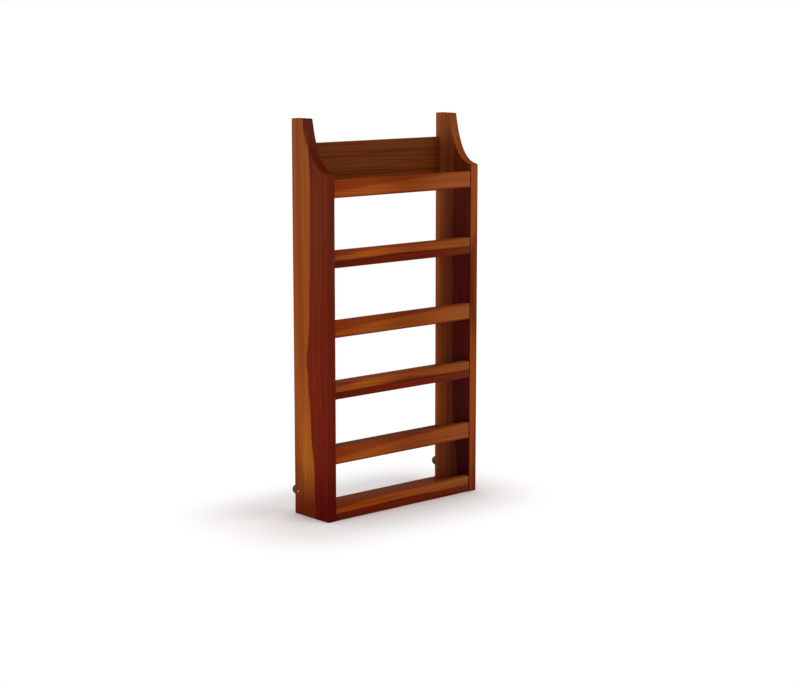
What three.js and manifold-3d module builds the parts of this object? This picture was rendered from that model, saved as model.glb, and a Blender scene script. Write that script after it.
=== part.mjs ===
// Periodical display rack: three open pockets, one above the other, between two solid wood side boards.
// Millimetres, +Z up, front towards -Y, origin on the floor under the middle of the overall box.
import * as THREE from "three";
import { mergeVertices } from "three/addons/utils/BufferGeometryUtils.js";
import Module from "manifold-3d";

// Side boards
const RACK_WIDTH = 500;
const SIDE_THICKNESS = 26;
const SIDE_DEPTH = 132;

// Scoop at the top front of each side board
const TOP_DEPTH = 50;
const SCOOP_DROP = 127;
const SCOOP_SHOULDER = 18;
const SCOOP_UPPER_PULL = 75;
const SCOOP_UPPER_LEAN = 15;
const SCOOP_LOWER_PULL = 50;
const SCOOP_LOWER_RISE = 6;
const SCOOP_STEPS = 16;

// Shelves, and the clear height of each closed pocket above its shelf
const BASE_GAP = 1;
const SHELF_THICKNESS = 17;
const BOTTOM_POCKET_HEIGHT = 287.5;
const MIDDLE_POCKET_HEIGHT = 305.5;
const FRONT_SETBACK = 1;
const HOUSING_DEPTH = 8;
const HOUSING_STOP = 24;

// Lip on the front of each shelf, and the rail above it
const LIP_HEIGHT = 25;
const LIP_THICKNESS = 18;
const RAIL_HEIGHT = 42;
const RAIL_THICKNESS = 18;
const BOTTOM_RAIL_RISE = 125.5;
const MIDDLE_RAIL_RISE = 135;
const TOP_RAIL_RISE = 152;

// Boards across the back
const BACK_RAIL_DROP = 62;
const BACK_RAIL_HEIGHT = 100;
const BACK_RAIL_THICKNESS = 15;
const SLAT_HEIGHT = 40;
const SLAT_THICKNESS = 15;
const SLAT_DROP = 26;

// Dowels in the ends of the boards that run across
const DOWEL_DIAMETER = 8;
const DOWEL_BITE = 22;
const DOWEL_COVER = 10;
const DOWEL_END_ROOM = 1;
const DOWEL_FACETS = 12;

// Turned wall stop behind the foot of each side board, held by its spigot and a cross pin
const STOP_LEVEL = 58;
const STOP_DIAMETER = 25;
const STOP_PROJECTION = 20;
const STOP_COLLAR = 5;
const STOP_FACETS = 24;
const STOP_DOME_STEPS = 6;
const SPIGOT_DIAMETER = 14;
const SPIGOT_LENGTH = 24;
const PIN_DIAMETER = 6;
const PIN_SETBACK = 12.5;
const PIN_COVER = 4;

// Clearance left between two pieces that are glued together
const GLUE_LINE = 0.2;

// Finishes
const SIDE_COLOUR = 0x8a4a22;
const RAIL_COLOUR = 0xa0521f;
const SHELF_COLOUR = 0x6b2416;
const BACK_COLOUR = 0x84471f;
const DOWEL_COLOUR = 0xc59a62;
const WOOD_ROUGHNESS = 0.38;

// Places that several pieces share
const FRONT = -(SIDE_DEPTH + STOP_PROJECTION) / 2;
const BACK = FRONT + SIDE_DEPTH;
const INNER_HALF = RACK_WIDTH / 2 - SIDE_THICKNESS;
const BOARD_FRONT = FRONT + FRONT_SETBACK;
const HANDS = { left: -1, right: 1 };

const POCKETS = [
  { name: "bottom", height: BOTTOM_POCKET_HEIGHT, railRise: BOTTOM_RAIL_RISE, hasSlat: true },
  { name: "middle", height: MIDDLE_POCKET_HEIGHT, railRise: MIDDLE_RAIL_RISE, hasSlat: true },
  { name: "top", height: 0, railRise: TOP_RAIL_RISE, hasSlat: false },
];
let nextLevel = BASE_GAP;
for (const pocket of POCKETS) {
  pocket.level = nextLevel;
  pocket.floor = pocket.level + SHELF_THICKNESS;
  pocket.railLevel = pocket.floor + pocket.railRise;
  nextLevel = pocket.floor + pocket.height;
}
const TOP_RAIL_TOP = POCKETS.at(-1).railLevel + RAIL_HEIGHT;
const SCOOP_LEVEL = TOP_RAIL_TOP + SCOOP_SHOULDER;
const RACK_HEIGHT = SCOOP_LEVEL + SCOOP_DROP;

const wasm = await Module();
wasm.setup();

// A closed geometry as a solid that can be cut.
function solidOf(geometry) {
  const bare = geometry.clone();
  bare.deleteAttribute("normal");
  bare.deleteAttribute("uv");
  const merged = mergeVertices(bare, 1e-4);
  return new wasm.Manifold(
    new wasm.Mesh({
      numProp: 3,
      vertProperties: new Float32Array(merged.attributes.position.array),
      triVerts: new Uint32Array(merged.index.array),
    }),
  );
}

// The first geometry with every cutter taken out of it.
function cutFrom(geometry, cutters) {
  const solid = cutters.reduce((rest, cutter) => rest.subtract(solidOf(cutter)), solidOf(geometry));
  const mesh = solid.getMesh();
  const cut = new THREE.BufferGeometry();
  cut.setAttribute("position", new THREE.BufferAttribute(mesh.vertProperties, 3));
  cut.setIndex(new THREE.BufferAttribute(mesh.triVerts, 1));
  const flat = cut.toNonIndexed();
  flat.computeVertexNormals();
  return flat;
}

// A box between two corners.
function boxBetween(low, high) {
  const size = high.map((value, axis) => value - low[axis]);
  const middle = high.map((value, axis) => (value + low[axis]) / 2);
  return new THREE.BoxGeometry(...size).translate(...middle);
}

// A round bar or hole that runs along X from one place to another.
function barAlongX(x0, x1, y, z, diameter) {
  const bar = new THREE.CylinderGeometry(diameter / 2, diameter / 2, Math.abs(x1 - x0), DOWEL_FACETS);
  return bar.rotateZ(Math.PI / 2).translate((x0 + x1) / 2, y, z);
}

// A profile drawn in depth and height, carried across the rack from x0 by a thickness.
function extrudeAcross(profile, x0, thickness, curveSegments) {
  const solid = new THREE.ExtrudeGeometry(profile, { depth: thickness, bevelEnabled: false, curveSegments });
  const depthAxis = new THREE.Vector3(0, 1, 0);
  const heightAxis = new THREE.Vector3(0, 0, 1);
  const acrossAxis = new THREE.Vector3(1, 0, 0);
  solid.applyMatrix4(new THREE.Matrix4().makeBasis(depthAxis, heightAxis, acrossAxis));
  return solid.translate(x0, 0, 0);
}

const rack = new THREE.Group();
rack.name = "periodical_display_rack";

function addPiece(name, geometry, colour) {
  const material = new THREE.MeshStandardMaterial({ color: colour, roughness: WOOD_ROUGHNESS, metalness: 0 });
  const piece = new THREE.Mesh(geometry, material);
  piece.name = name;
  rack.add(piece);
}

// Boards that run across between the sides, each with one or two rows of dowels in both ends
const ONE_ROW = [""];
const TWO_ROWS = ["lower_", "upper_"];
const CROSS_BOARDS = [];

for (const pocket of POCKETS) {
  CROSS_BOARDS.push({
    name: pocket.name + "_lip",
    front: BOARD_FRONT,
    thickness: LIP_THICKNESS,
    level: pocket.floor + GLUE_LINE,
    height: LIP_HEIGHT,
    rowNames: ONE_ROW,
    colour: RAIL_COLOUR,
  });
  CROSS_BOARDS.push({
    name: pocket.name + "_front_rail",
    front: BOARD_FRONT,
    thickness: RAIL_THICKNESS,
    level: pocket.railLevel,
    height: RAIL_HEIGHT,
    rowNames: TWO_ROWS,
    colour: RAIL_COLOUR,
  });
  if (pocket.hasSlat) {
    CROSS_BOARDS.push({
      name: pocket.name + "_back_slat",
      front: BACK - SLAT_THICKNESS,
      thickness: SLAT_THICKNESS,
      level: pocket.railLevel + RAIL_HEIGHT / 2 - SLAT_DROP - SLAT_HEIGHT / 2,
      height: SLAT_HEIGHT,
      rowNames: TWO_ROWS,
      colour: BACK_COLOUR,
    });
  }
}
CROSS_BOARDS.push({
  name: "top_back_rail",
  front: BACK - BACK_RAIL_THICKNESS,
  thickness: BACK_RAIL_THICKNESS,
  level: RACK_HEIGHT - BACK_RAIL_DROP - BACK_RAIL_HEIGHT,
  height: BACK_RAIL_HEIGHT,
  rowNames: TWO_ROWS,
  colour: BACK_COLOUR,
});
for (const board of CROSS_BOARDS) {
  board.dowels = board.rowNames.map((rowName, row) => ({
    rowName,
    y: board.front + board.thickness / 2,
    z: board.level + (board.height * (row + 0.5)) / board.rowNames.length,
  }));
}

// How far a dowel reaches to each side of the side board's inner face
const DOWEL_SOCKET = SIDE_THICKNESS - DOWEL_COVER;
const BOARD_HALF = INNER_HALF - GLUE_LINE;
const HOLE_DIAMETER = DOWEL_DIAMETER + 2 * GLUE_LINE;

for (const board of CROSS_BOARDS) {
  const low = [-BOARD_HALF, board.front, board.level];
  const high = [BOARD_HALF, board.front + board.thickness, board.level + board.height];
  const holes = [];
  for (const [sideName, hand] of Object.entries(HANDS)) {
    for (const { y, z, rowName } of board.dowels) {
      const inward = hand * (INNER_HALF - DOWEL_BITE);
      const outward = hand * (INNER_HALF + DOWEL_SOCKET);
      holes.push(barAlongX(inward, hand * (INNER_HALF + DOWEL_END_ROOM), y, z, HOLE_DIAMETER));
      const dowel = barAlongX(
        inward + hand * DOWEL_END_ROOM, outward - hand * DOWEL_END_ROOM, y, z, DOWEL_DIAMETER,
      );
      addPiece(board.name + "_" + sideName + "_" + rowName + "dowel", dowel, DOWEL_COLOUR);
    }
  }
  addPiece(board.name, cutFrom(boxBetween(low, high), holes), board.colour);
}

// Shelves: the ends are cut back at the front, and the tongue behind runs into the side boards
const HOUSING_FRONT = FRONT + HOUSING_STOP;

function shelfGeometry(level) {
  const tongueHalf = INNER_HALF + HOUSING_DEPTH - GLUE_LINE;
  const plan = new THREE.Shape();
  plan.moveTo(-BOARD_HALF, BOARD_FRONT);
  plan.lineTo(BOARD_HALF, BOARD_FRONT);
  plan.lineTo(BOARD_HALF, HOUSING_FRONT + GLUE_LINE);
  plan.lineTo(tongueHalf, HOUSING_FRONT + GLUE_LINE);
  plan.lineTo(tongueHalf, BACK);
  plan.lineTo(-tongueHalf, BACK);
  plan.lineTo(-tongueHalf, HOUSING_FRONT + GLUE_LINE);
  plan.lineTo(-BOARD_HALF, HOUSING_FRONT + GLUE_LINE);
  plan.closePath();
  const shelf = new THREE.ExtrudeGeometry(plan, { depth: SHELF_THICKNESS, bevelEnabled: false });
  return shelf.translate(0, 0, level);
}

for (const pocket of POCKETS) {
  addPiece(pocket.name + "_shelf", shelfGeometry(pocket.level), SHELF_COLOUR);
}

// Wall stops: a turned button with a domed end, whose spigot runs into the back edge of the side board
const SIDE_MIDDLE = RACK_WIDTH / 2 - SIDE_THICKNESS / 2;
const PIN_DEPTH = BACK - PIN_SETBACK;
const PIN_HOLE_DIAMETER = PIN_DIAMETER + 2 * GLUE_LINE;

function stopGeometry(hand) {
  const spigot = SPIGOT_DIAMETER / 2;
  const button = STOP_DIAMETER / 2;
  const outline = [
    new THREE.Vector2(0, -SPIGOT_LENGTH),
    new THREE.Vector2(spigot, -SPIGOT_LENGTH),
    new THREE.Vector2(spigot, GLUE_LINE),
    new THREE.Vector2(button, GLUE_LINE),
  ];
  for (let step = 0; step < STOP_DOME_STEPS; step += 1) {
    const turn = (Math.PI / 2) * (step / STOP_DOME_STEPS);
    const reach = STOP_COLLAR + (STOP_PROJECTION - STOP_COLLAR) * Math.sin(turn);
    outline.push(new THREE.Vector2(button * Math.cos(turn), reach));
  }
  outline.push(new THREE.Vector2(0, STOP_PROJECTION));
  const turned = new THREE.LatheGeometry(outline, STOP_FACETS);
  return turned.translate(hand * SIDE_MIDDLE, BACK, STOP_LEVEL);
}

function spigotHole(hand) {
  const radius = SPIGOT_DIAMETER / 2 + GLUE_LINE;
  const length = SPIGOT_LENGTH + STOP_PROJECTION + GLUE_LINE;
  const hole = new THREE.CylinderGeometry(radius, radius, length, STOP_FACETS);
  return hole.translate(hand * SIDE_MIDDLE, BACK + STOP_PROJECTION - length / 2, STOP_LEVEL);
}

function pinBar(hand, diameter, room) {
  const outer = hand * (RACK_WIDTH / 2 + room);
  const inner = hand * (INNER_HALF + PIN_COVER - room);
  return barAlongX(outer, inner, PIN_DEPTH, STOP_LEVEL, diameter);
}

for (const [sideName, hand] of Object.entries(HANDS)) {
  const pinHole = pinBar(hand, PIN_HOLE_DIAMETER, GLUE_LINE);
  addPiece(sideName + "_wall_stop", cutFrom(stopGeometry(hand), [pinHole]), SIDE_COLOUR);
  addPiece(sideName + "_wall_stop_pin", pinBar(hand, PIN_DIAMETER, 0), DOWEL_COLOUR);
}

// Side boards: a straight board with a scooped top, cut for shelves, dowels and the wall stop
function sideProfile() {
  const profile = new THREE.Shape();
  profile.moveTo(BACK, 0);
  profile.lineTo(BACK, RACK_HEIGHT);
  profile.lineTo(BACK - TOP_DEPTH, RACK_HEIGHT);
  profile.bezierCurveTo(
    BACK - TOP_DEPTH - SCOOP_UPPER_LEAN, RACK_HEIGHT - SCOOP_UPPER_PULL,
    FRONT + SCOOP_LOWER_PULL, SCOOP_LEVEL + SCOOP_LOWER_RISE,
    FRONT, SCOOP_LEVEL,
  );
  profile.lineTo(FRONT, 0);
  profile.closePath();
  return profile;
}

function sideCutters(hand) {
  const cutters = [];
  for (const pocket of POCKETS) {
    const across = [0, hand * (INNER_HALF + HOUSING_DEPTH)].sort((one, other) => one - other);
    const low = [across[0], HOUSING_FRONT, pocket.level - GLUE_LINE];
    const high = [across[1], BACK + STOP_PROJECTION, pocket.floor + GLUE_LINE];
    cutters.push(boxBetween(low, high));
  }
  for (const board of CROSS_BOARDS) {
    for (const { y, z } of board.dowels) {
      const start = hand * (INNER_HALF - DOWEL_END_ROOM);
      cutters.push(barAlongX(start, hand * (INNER_HALF + DOWEL_SOCKET), y, z, HOLE_DIAMETER));
    }
  }
  cutters.push(spigotHole(hand));
  cutters.push(pinBar(hand, PIN_HOLE_DIAMETER, GLUE_LINE));
  return cutters;
}

for (const [sideName, hand] of Object.entries(HANDS)) {
  const innerFace = hand * SIDE_MIDDLE - SIDE_THICKNESS / 2;
  const board = extrudeAcross(sideProfile(), innerFace, SIDE_THICKNESS, SCOOP_STEPS);
  addPiece(sideName + "_side", cutFrom(board, sideCutters(hand)), SIDE_COLOUR);
}

export default rack;
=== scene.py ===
"""Periodical display rack in red-brown hardwood: eased boards, clear lacquer, a white studio, a camera.

Everything is in metres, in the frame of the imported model, and each piece keeps its place in its mesh.
"""
import logging
import math
from dataclasses import dataclass, field, replace
from enum import Enum
from typing import Any, Optional, Sequence, Union

import bpy
import numpy as np
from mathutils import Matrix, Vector


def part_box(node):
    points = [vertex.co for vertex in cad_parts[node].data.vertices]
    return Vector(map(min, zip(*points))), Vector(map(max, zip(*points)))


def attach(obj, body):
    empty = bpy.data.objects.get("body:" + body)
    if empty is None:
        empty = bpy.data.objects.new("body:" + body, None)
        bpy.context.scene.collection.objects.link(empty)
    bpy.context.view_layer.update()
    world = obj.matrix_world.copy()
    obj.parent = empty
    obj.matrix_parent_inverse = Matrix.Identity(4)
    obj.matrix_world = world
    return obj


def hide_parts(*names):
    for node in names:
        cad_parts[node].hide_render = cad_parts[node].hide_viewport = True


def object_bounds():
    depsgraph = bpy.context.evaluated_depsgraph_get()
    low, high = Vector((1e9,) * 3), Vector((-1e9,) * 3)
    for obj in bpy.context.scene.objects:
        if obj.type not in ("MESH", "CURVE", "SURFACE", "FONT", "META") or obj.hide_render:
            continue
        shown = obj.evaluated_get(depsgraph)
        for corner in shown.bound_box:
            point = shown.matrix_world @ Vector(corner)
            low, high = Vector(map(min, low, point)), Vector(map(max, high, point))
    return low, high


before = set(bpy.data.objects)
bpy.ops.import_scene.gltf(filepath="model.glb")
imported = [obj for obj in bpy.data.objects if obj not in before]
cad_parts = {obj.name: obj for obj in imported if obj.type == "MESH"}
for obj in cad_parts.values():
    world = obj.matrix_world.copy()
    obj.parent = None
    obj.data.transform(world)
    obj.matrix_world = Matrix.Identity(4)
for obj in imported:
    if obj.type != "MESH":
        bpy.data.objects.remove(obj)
CAD_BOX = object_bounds()

BODY = "root"
MILLIMETRE = 0.001
GLUE_LINE = 0.2 * MILLIMETRE
HOUSING_STOP = 24.0 * MILLIMETRE
BORE_FACETS = 48
BAR_STATIONS = 25
TONGUE_STEP = 0.02 * MILLIMETRE
TONGUE_EASING = 0.1
SHARP_ANGLE = math.radians(40.0)
DOWEL_NODES = tuple(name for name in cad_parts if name.endswith("_dowel"))
log = logging.getLogger("rack")

Array = np.ndarray
Colour = tuple[float, float, float, float]
Tint = tuple[float, float, float]
Value = Union["Shade", float]


class Slot(Enum):
    """Material slots of the record."""

    SIDE = "side_wood"
    RAIL = "rail_wood"
    SHELF = "shelf_wood"
    BACK = "back_wood"
    DOWEL = "dowel_wood"


class Level(Enum):
    """The three pockets, from the floor up."""

    BOTTOM = "bottom"
    MIDDLE = "middle"
    TOP = "top"


class Hand(Enum):
    """The two sides of the rack, with the sign of x on each."""

    LEFT = -1
    RIGHT = 1

    @property
    def word(self) -> str:
        """The word for this side in the names of nodes and pieces."""
        return self.name.lower()


class Grain(Enum):
    """How a board is cut, as the axes that run along, across and through it."""

    UPRIGHT = "ZYX"
    CROSSWISE = "XZY"
    FLAT = "XYZ"
    TURNED = "YXZ"


def pigment(red: float, green: float, blue: float) -> Colour:
    """Linear colour of a pigment, given as it looks on a screen, by the curve of sRGB.

    Args:
        red: Red from 0 to 255.
        green: Green from 0 to 255.
        blue: Blue from 0 to 255.

    Returns:
        The colour for a shader socket.
    """
    shown = np.array((red, green, blue)) / 255.0
    linear = np.where(shown <= 0.04045, shown / 12.92, ((shown + 0.055) / 1.055) ** 2.4)
    return (*linear.tolist(), 1.0)


class Shade:
    """A shader socket that takes part in Python expressions, each of which adds a Math node."""

    def __init__(self, bench: "Bench", socket: Optional[bpy.types.NodeSocket]) -> None:
        """Wraps a socket of the bench's node tree."""
        self.bench = bench
        self.socket = socket

    def __add__(self, other: Value) -> "Shade":
        """This value plus the other."""
        return self.bench.math("ADD", self, other)

    def __radd__(self, other: float) -> "Shade":
        """The other value plus this one."""
        return self.bench.math("ADD", other, self)

    def __sub__(self, other: Value) -> "Shade":
        """This value less the other."""
        return self.bench.math("SUBTRACT", self, other)

    def __rsub__(self, other: float) -> "Shade":
        """The other value less this one."""
        return self.bench.math("SUBTRACT", other, self)

    def __mul__(self, other: Value) -> "Shade":
        """This value times the other."""
        return self.bench.math("MULTIPLY", self, other)

    def __rmul__(self, other: float) -> "Shade":
        """The other value times this one."""
        return self.bench.math("MULTIPLY", other, self)

    def __abs__(self) -> "Shade":
        """This value without its sign."""
        return self.bench.math("ABSOLUTE", self)

    def output(self, name: str) -> "Shade":
        """Another output of the node that this socket belongs to."""
        return Shade(self.bench, self.socket.node.outputs[name])


class Bench:
    """A node tree under construction, for a finish, the floor or the world."""

    def __init__(self, owner: Union[bpy.types.Material, bpy.types.World]) -> None:
        """Starts with an empty tree.

        Args:
            owner: The material or world that the tree belongs to.
        """
        owner.use_nodes = True
        self.tree = owner.node_tree
        self.tree.nodes.clear()

    def add(
        self,
        kind: str,
        settings: Optional[dict[str, Any]] = None,
        inputs: Optional[dict[Union[str, int], Any]] = None,
        output: Union[str, int] = 0,
    ) -> Shade:
        """Adds any node.

        Args:
            kind: The node's type.
            settings: Its properties, or the stops of a ramp, set before its sockets.
            inputs: Values or links of its sockets, by name or number.
            output: The socket to hand back.

        Returns:
            The wanted output, or an empty shade for a node without outputs.
        """
        node = self.tree.nodes.new(kind)
        for name, value in (settings or {}).items():
            if name == "stops":
                self._set_stops(node.color_ramp, value)
            else:
                setattr(node, name, value)
        for name, value in (inputs or {}).items():
            if isinstance(value, Shade):
                self.tree.links.new(value.socket, node.inputs[name])
            else:
                node.inputs[name].default_value = value
        return Shade(self, node.outputs[output] if len(node.outputs) else None)

    @staticmethod
    def _set_stops(ramp: bpy.types.ColorRamp, stops: Sequence[tuple[float, Tint]]) -> None:
        """Gives a ramp its stops, joined by a smooth curve through them.

        Args:
            ramp: The ramp.
            stops: Places from 0 to 1, rising, and the colour at each.
        """
        ramp.interpolation = "CARDINAL"
        while len(ramp.elements) < len(stops):
            ramp.elements.new(1.0)
        for element, (position, tint) in zip(ramp.elements, stops):
            element.position = position
            element.color = (*tint, 1.0)

    def math(self, operation: str, *values: Value) -> Shade:
        """A Math node on values and shades."""
        return self.add("ShaderNodeMath", {"operation": operation}, dict(enumerate(values)))

    def mix(self, share: Value, first: Any, second: Any, blend: str = "MIX") -> Shade:
        """Mixes two colours.

        Args:
            share: Share of the second colour.
            first: The first colour.
            second: The second colour.
            blend: How the second lies over the first.

        Returns:
            The mixed colour.
        """
        settings = {"data_type": "RGBA", "blend_type": blend}
        # The colour sockets of this node share their names with others, so they go by number.
        return self.add("ShaderNodeMix", settings, {0: share, 6: first, 7: second}, output=2)

    def ramp(self, along: Shade, points: Sequence[tuple[float, Tint]], reach: float) -> Shade:
        """A colour that changes along a board, on a smooth curve through points.

        Args:
            along: Distance along the board.
            points: Places along the board, rising, and the colour at each.
            reach: What the colours are divided by, because a ramp ends at 1.

        Returns:
            The colour divided by the reach.
        """
        low, high = points[0][0], points[-1][0]
        length = high - low
        stops = [
            ((place - low) / length, tuple(part / reach for part in tint)) for place, tint in points
        ]
        return self.add("ShaderNodeValToRGB", {"stops": stops}, {0: (along - low) * (1.0 / length)})

    def smooth(self, value: Value, low: float, high: float) -> Shade:
        """Rises smoothly from 0 where the value is low to 1 where it is high."""
        inputs = {"Value": value, "From Min": low, "From Max": high}
        return self.add("ShaderNodeMapRange", {"interpolation_type": "SMOOTHSTEP"}, inputs)

    def axes(self, vector: Shade) -> dict[str, Shade]:
        """The three parts of a vector, by the letters of their axes."""
        first = self.add("ShaderNodeSeparateXYZ", inputs={0: vector}, output="X")
        return {letter: first.output(letter) for letter in "XYZ"}

    def noise(self, x: Value, y: Value, z: Value, detail: float = 1.0) -> Shade:
        """Soft noise about 0.5 at a place given by its three parts."""
        place = self.add("ShaderNodeCombineXYZ", inputs={0: x, 1: y, 2: z})
        return self.add("ShaderNodeTexNoise", inputs={"Vector": place, "Scale": 1.0, "Detail": detail})


@dataclass(frozen=True)
class Figure:
    """How the growth rings lie in a board.

    Attributes:
        ring: Spacing of the rings.
        pith: Distance of the middle of the tree from the board, across it and through it.
        lean: Rise of the rings across the board for each metre along it.
        wander: How far the rings stray sideways.
    """

    ring: float = 0.007
    pith: tuple[float, float] = (0.16, 0.05)
    lean: float = 0.02
    wander: float = 0.03


@dataclass(frozen=True)
class Layer:
    """A layer of the grain: noise drawn out along the board, shown where it rises between two levels.

    Attributes:
        length: Features for each metre along the grain.
        width: Features for each metre across it.
        low: Level up to which the layer doesn't show.
        high: Level from which it shows in full.
        share: Share of a wood's darker colour that it brings.
        detail: Detail of the noise.
    """

    length: float
    width: float
    low: float = 0.0
    high: float = 1.0
    share: float = 0.0
    detail: float = 1.0


@dataclass(frozen=True)
class GrainFields:
    """What the grain does at a point of a board, as shader values.

    Attributes:
        along: Distance along the board.
        across: Distance across the board.
        through: Distance through the board.
        streak: Narrow streaks.
        fibre: Fine fibres.
        vein: Thin dark veins.
        pore: Open pores.
        end: End grain.
        rubbed: Rubbing along the edges.
        shade: Share of a wood's dark colour: growth lines, broad bands, streaks and fibres together.
        depth: Share of a wood's deepest colour: veins, pores and end grain together.
    """

    along: Shade
    across: Shade
    through: Shade
    streak: Shade
    fibre: Shade
    vein: Shade
    pore: Shade
    end: Shade
    rubbed: Shade
    shade: Shade
    depth: Shade


@dataclass(frozen=True)
class Course:
    """A value that changes along a board, on a smooth curve through points.

    Attributes:
        points: Places along the board, rising, and the value at each.
    """

    points: tuple[tuple[float, float], ...]

    REACH = 0.2

    def read(self, bench: Bench, along: Shade) -> Shade:
        """The value at a place along the board: a grey ramp times the reach."""
        points = [(place, (value,) * 3) for place, value in self.points]
        return self.REACH * bench.ramp(along, points, self.REACH)


@dataclass(frozen=True)
class Stain:
    """A stain that is uneven along a board, with painted light in it: what the wood's red, green and blue
    are multiplied by. Where it darkens a board towards the floor it is painted shade, and where it raises
    green and blue towards the top of a side board and the right end of a front board it is a painted sheen
    of reflected white.

    Attributes:
        points: Places along the board, rising, and the tint at each.
    """

    points: tuple[tuple[float, Tint], ...]

    REACH = 3.0

    def lay(self, bench: Bench, along: Shade, wood: Shade) -> Shade:
        """Lays the stain and its painted light on a wood, which is multiplied by a ramp and then by the
        reach.
        """
        thin = bench.mix(1.0, wood, bench.ramp(along, self.points, self.REACH), "MULTIPLY")
        return bench.mix(1.0, thin, (self.REACH, self.REACH, self.REACH, 1.0), "MULTIPLY")


@dataclass(frozen=True)
class Tone:
    """Colours of one wood.

    Attributes:
        light: Between the growth lines.
        dark: On the growth lines and broad bands.
        vein: In thin veins and pores, and on end grain.
        uneven: How its stain, with the painted shade and sheen laid in it, varies along the board, where it
            does.
    """

    light: Colour
    dark: Colour
    vein: Colour
    uneven: Optional[Stain] = None

    def stained(self, *points: tuple[float, Tint]) -> "Tone":
        """The same wood under a stain that varies along the board and carries painted shade and sheen."""
        return replace(self, uneven=Stain(points))


@dataclass(frozen=True)
class LacqueredWood:
    """Hardwood under a thin clear lacquer.

    Attributes:
        tone: Colours of the wood.
        figure: Lie of the growth rings.
        grain: Cut of the board.
        seed: Moves the pattern, so that no two boards are alike.
        roughness: Roughness of the lacquer on flat faces.
        coat: Weight of the lacquer's gloss.
    """

    tone: Tone
    figure: Figure
    grain: Grain
    seed: int
    roughness: float = 0.42
    coat: float = 0.07

    # The grain: layers of noise, growth rings and end grain.
    SEED_STEP = 3.7
    NOISE_MEAN = 0.5
    STRAY = Layer(1.7, 8.0)
    BAND = Layer(1.3, 42.0, 0.34, 0.66, share=0.30)
    STREAK = Layer(2.4, 150.0, 0.32, 0.68, share=0.24)
    FIBRE = Layer(9.0, 420.0, 0.30, 0.70, share=0.14, detail=3.0)
    PORE = Layer(70.0, 1400.0, 0.62, 0.72, share=0.35)
    # The levels of a vein are distances of its noise from the mean.
    VEIN = Layer(1.1, 62.0, 0.0, 0.03, share=0.45)
    RING_NOISE = 0.42
    PACE = 2.4
    VIGOUR_START = 9.0
    VIGOUR = (0.25, 0.75)
    LATE_RISE = (0.25, 0.85)
    LATE_FALL = (0.88, 1.0)
    LINE_SHARE = 0.46
    END_FACING = (0.1, 0.6)
    END_GRAIN = 0.45
    END_RINGS = 0.5
    # The finish: rubbed spots, roughness, gloss and relief.
    WEAR_SPOTS = 60.0
    WEAR_LEVELS = (0.35, 0.65)
    RUBBED = (1.18, 1.15, 1.12, 1.0)
    FIBRE_ROUGHNESS = 0.1
    WORN_ROUGHNESS = 0.12
    END_ROUGHNESS = 0.15
    SPECULAR = 0.0
    WORN_COAT = 0.5
    COAT_ROUGHNESS = 0.22
    FIBRE_RELIEF = 0.4
    PORE_RELIEF = 0.6
    VEIN_RELIEF = 0.2
    BUMP_DEPTH = 0.0004
    BUMP_STRENGTH = 0.25

    def read_grain(self, bench: Bench) -> GrainFields:
        """Works out the grain from the place on the board.

        Growth lines are the late part of each ring: the distance from the pith, bent by slow noise, divided
        by the ring spacing. The rings grow at an uneven pace, and their lines with uneven vigour. Bands,
        streaks, fibres and pores are noise drawn out along the grain, each finer than the one before, and a
        vein runs where such a noise crosses its mean.

        Args:
            bench: The node tree.

        Returns:
            The grain.
        """
        place = bench.add("ShaderNodeTexCoord", output="Object")
        part = bench.axes(place)
        along, across, through = (part[letter] for letter in self.grain.value)
        facing = bench.axes(place.output("Normal"))[self.grain.value[0]]
        shift = self.SEED_STEP * self.seed

        def noise(layer: Layer) -> Shade:
            """The noise of a layer, drawn out along the grain."""
            side = across * layer.width - shift
            return bench.noise(along * layer.length + shift, side, through * layer.width, layer.detail)

        def shown(layer: Layer) -> Shade:
            """Where a layer shows, from 0 to 1."""
            return bench.smooth(noise(layer), layer.low, layer.high)

        stray = (noise(self.STRAY) - self.NOISE_MEAN) * self.figure.wander
        out_across = across + along * self.figure.lean + stray + self.figure.pith[0]
        out_through = through + stray + self.figure.pith[1]
        reach = bench.math("SQRT", out_across * out_across + out_through * out_through)
        rings = reach * (1.0 / self.figure.ring)
        pace, vigour = (
            bench.noise(rings * self.RING_NOISE, shift + start, 0.0) for start in (0.0, self.VIGOUR_START)
        )
        turn = bench.math("FRACT", rings + pace * self.PACE)
        late = bench.smooth(turn, *self.LATE_RISE) - bench.smooth(turn, *self.LATE_FALL)
        line = late * bench.smooth(vigour, *self.VIGOUR)
        band, streak, fibre, pore = map(shown, (self.BAND, self.STREAK, self.FIBRE, self.PORE))
        vein = 1.0 - bench.smooth(abs(noise(self.VEIN) - self.NOISE_MEAN), self.VEIN.low, self.VEIN.high)
        end = bench.smooth(abs(facing), *self.END_FACING)
        shade = line * self.LINE_SHARE + band * self.BAND.share + streak * self.STREAK.share
        dots = bench.math("MAXIMUM", vein * self.VEIN.share, pore * self.PORE.share)
        return GrainFields(
            along=along,
            across=across,
            through=through,
            streak=streak,
            fibre=fibre,
            vein=vein,
            pore=pore,
            end=end,
            rubbed=bench.add("ShaderNodeAttribute", {"attribute_name": "rubbed"}, output="Fac"),
            shade=shade + fibre * self.FIBRE.share,
            depth=bench.math("MAXIMUM", dots, end * (self.END_GRAIN + line * self.END_RINGS)),
        )

    def tint(self, bench: Bench, cut: GrainFields, tone: Tone) -> Shade:
        """Colour of one wood: light to dark by the shade, then to the vein by the depth, then under its
        stain with painted light.
        """
        wood = bench.mix(cut.depth, bench.mix(cut.shade, tone.light, tone.dark), tone.vein)
        # The stain's ramp also carries painted shade and a painted sheen.
        return tone.uneven.lay(bench, cut.along, wood) if tone.uneven else wood

    def colour(self, bench: Bench, cut: GrainFields) -> Shade:
        """Colour of the whole board before rubbing."""
        return self.tint(bench, cut, self.tone)

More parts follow.
